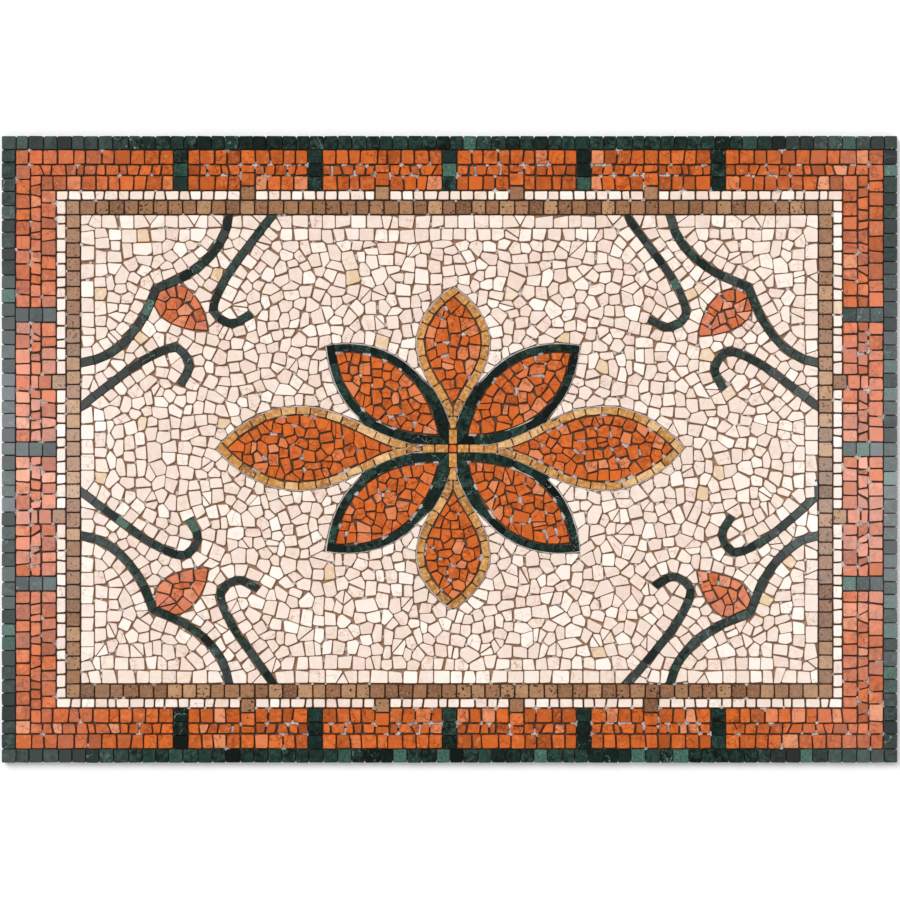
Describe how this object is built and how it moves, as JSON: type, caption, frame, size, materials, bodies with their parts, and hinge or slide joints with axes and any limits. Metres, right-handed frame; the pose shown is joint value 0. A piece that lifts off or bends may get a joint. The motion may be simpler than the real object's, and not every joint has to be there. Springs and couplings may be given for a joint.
{
  "type": "mosaic panel",
  "caption": "Flat rectangular mosaic of hand-cut marble on a net backing, with a petalled flower, corner scrolls and a banded border.",
  "frame": {"origin": "middle of the underside of the net backing, the face that is bonded", "axes": "+X along the long side, to the right as the picture is seen; +Y along the short side, to the top of the picture; +Z out of the stone faces"},
  "size_m": [1, 0.7, 0.01],
  "materials": {
    "glass_net": "matt",
    "green_marble": "honed",
    "coral_marble": "honed",
    "gold_marble": "honed",
    "ivory_marble": "tumbled",
    "travertine": "honed, pitted"
  },
  "bodies": {
    "root": {"mesh_backing": "glass_net", "green_border": "green_marble", "coral_block_left_1": "coral_marble", "coral_block_left_2": "coral_marble", "coral_corner_top_left": "coral_marble", "coral_corner_bottom_left": "coral_marble", "coral_block_top_1": "coral_marble", "coral_block_bottom_1": "coral_marble", "coral_block_top_2": "coral_marble", "coral_block_bottom_2": "coral_marble", "coral_block_top_3": "coral_marble", "coral_block_bottom_3": "coral_marble", "coral_block_top_4": "coral_marble", "coral_block_bottom_4": "coral_marble", "coral_corner_top_right": "coral_marble", "coral_corner_bottom_right": "coral_marble", "coral_block_right_1": "coral_marble", "coral_block_right_2": "coral_marble", "ivory_row": "ivory_marble", "travertine_row": "travertine", "centre_stone": "coral_marble", "gold_edging_right": "gold_marble", "coral_petal_right": "coral_marble", "gold_edging_top": "gold_marble", "coral_petal_top": "coral_marble", "gold_edging_left": "gold_marble", "coral_petal_left": "coral_marble", "gold_edging_bottom": "gold_marble", "coral_petal_bottom": "coral_marble", "green_edging_top_left": "green_marble", "coral_petal_top_left": "coral_marble", "green_edging_top_right": "green_marble", "coral_petal_top_right": "coral_marble", "green_edging_bottom_left": "green_marble", "coral_petal_bottom_left": "coral_marble", "green_edging_bottom_right": "green_marble", "coral_petal_bottom_right": "coral_marble", "vine_top_left": "green_marble", "bud_top_left": "coral_marble", "tendril_top_left_upper": "green_marble", "tendril_top_left_side": "green_marble", "vine_top_right": "green_marble", "bud_top_right": "coral_marble", "tendril_top_right_upper": "green_marble", "tendril_top_right_side": "green_marble", "vine_bottom_left": "green_marble", "bud_bottom_left": "coral_marble", "tendril_bottom_left_upper": "green_marble", "tendril_bottom_left_side": "green_marble", "vine_bottom_right": "green_marble", "bud_bottom_right": "coral_marble", "tendril_bottom_right_upper": "green_marble", "tendril_bottom_right_side": "green_marble", "ivory_field": "ivory_marble", "ivory_field_top_left": "ivory_marble", "ivory_field_bottom_left": "ivory_marble", "ivory_field_top_right": "ivory_marble", "ivory_field_bottom_right": "ivory_marble"}
  },
  "joints": []
}
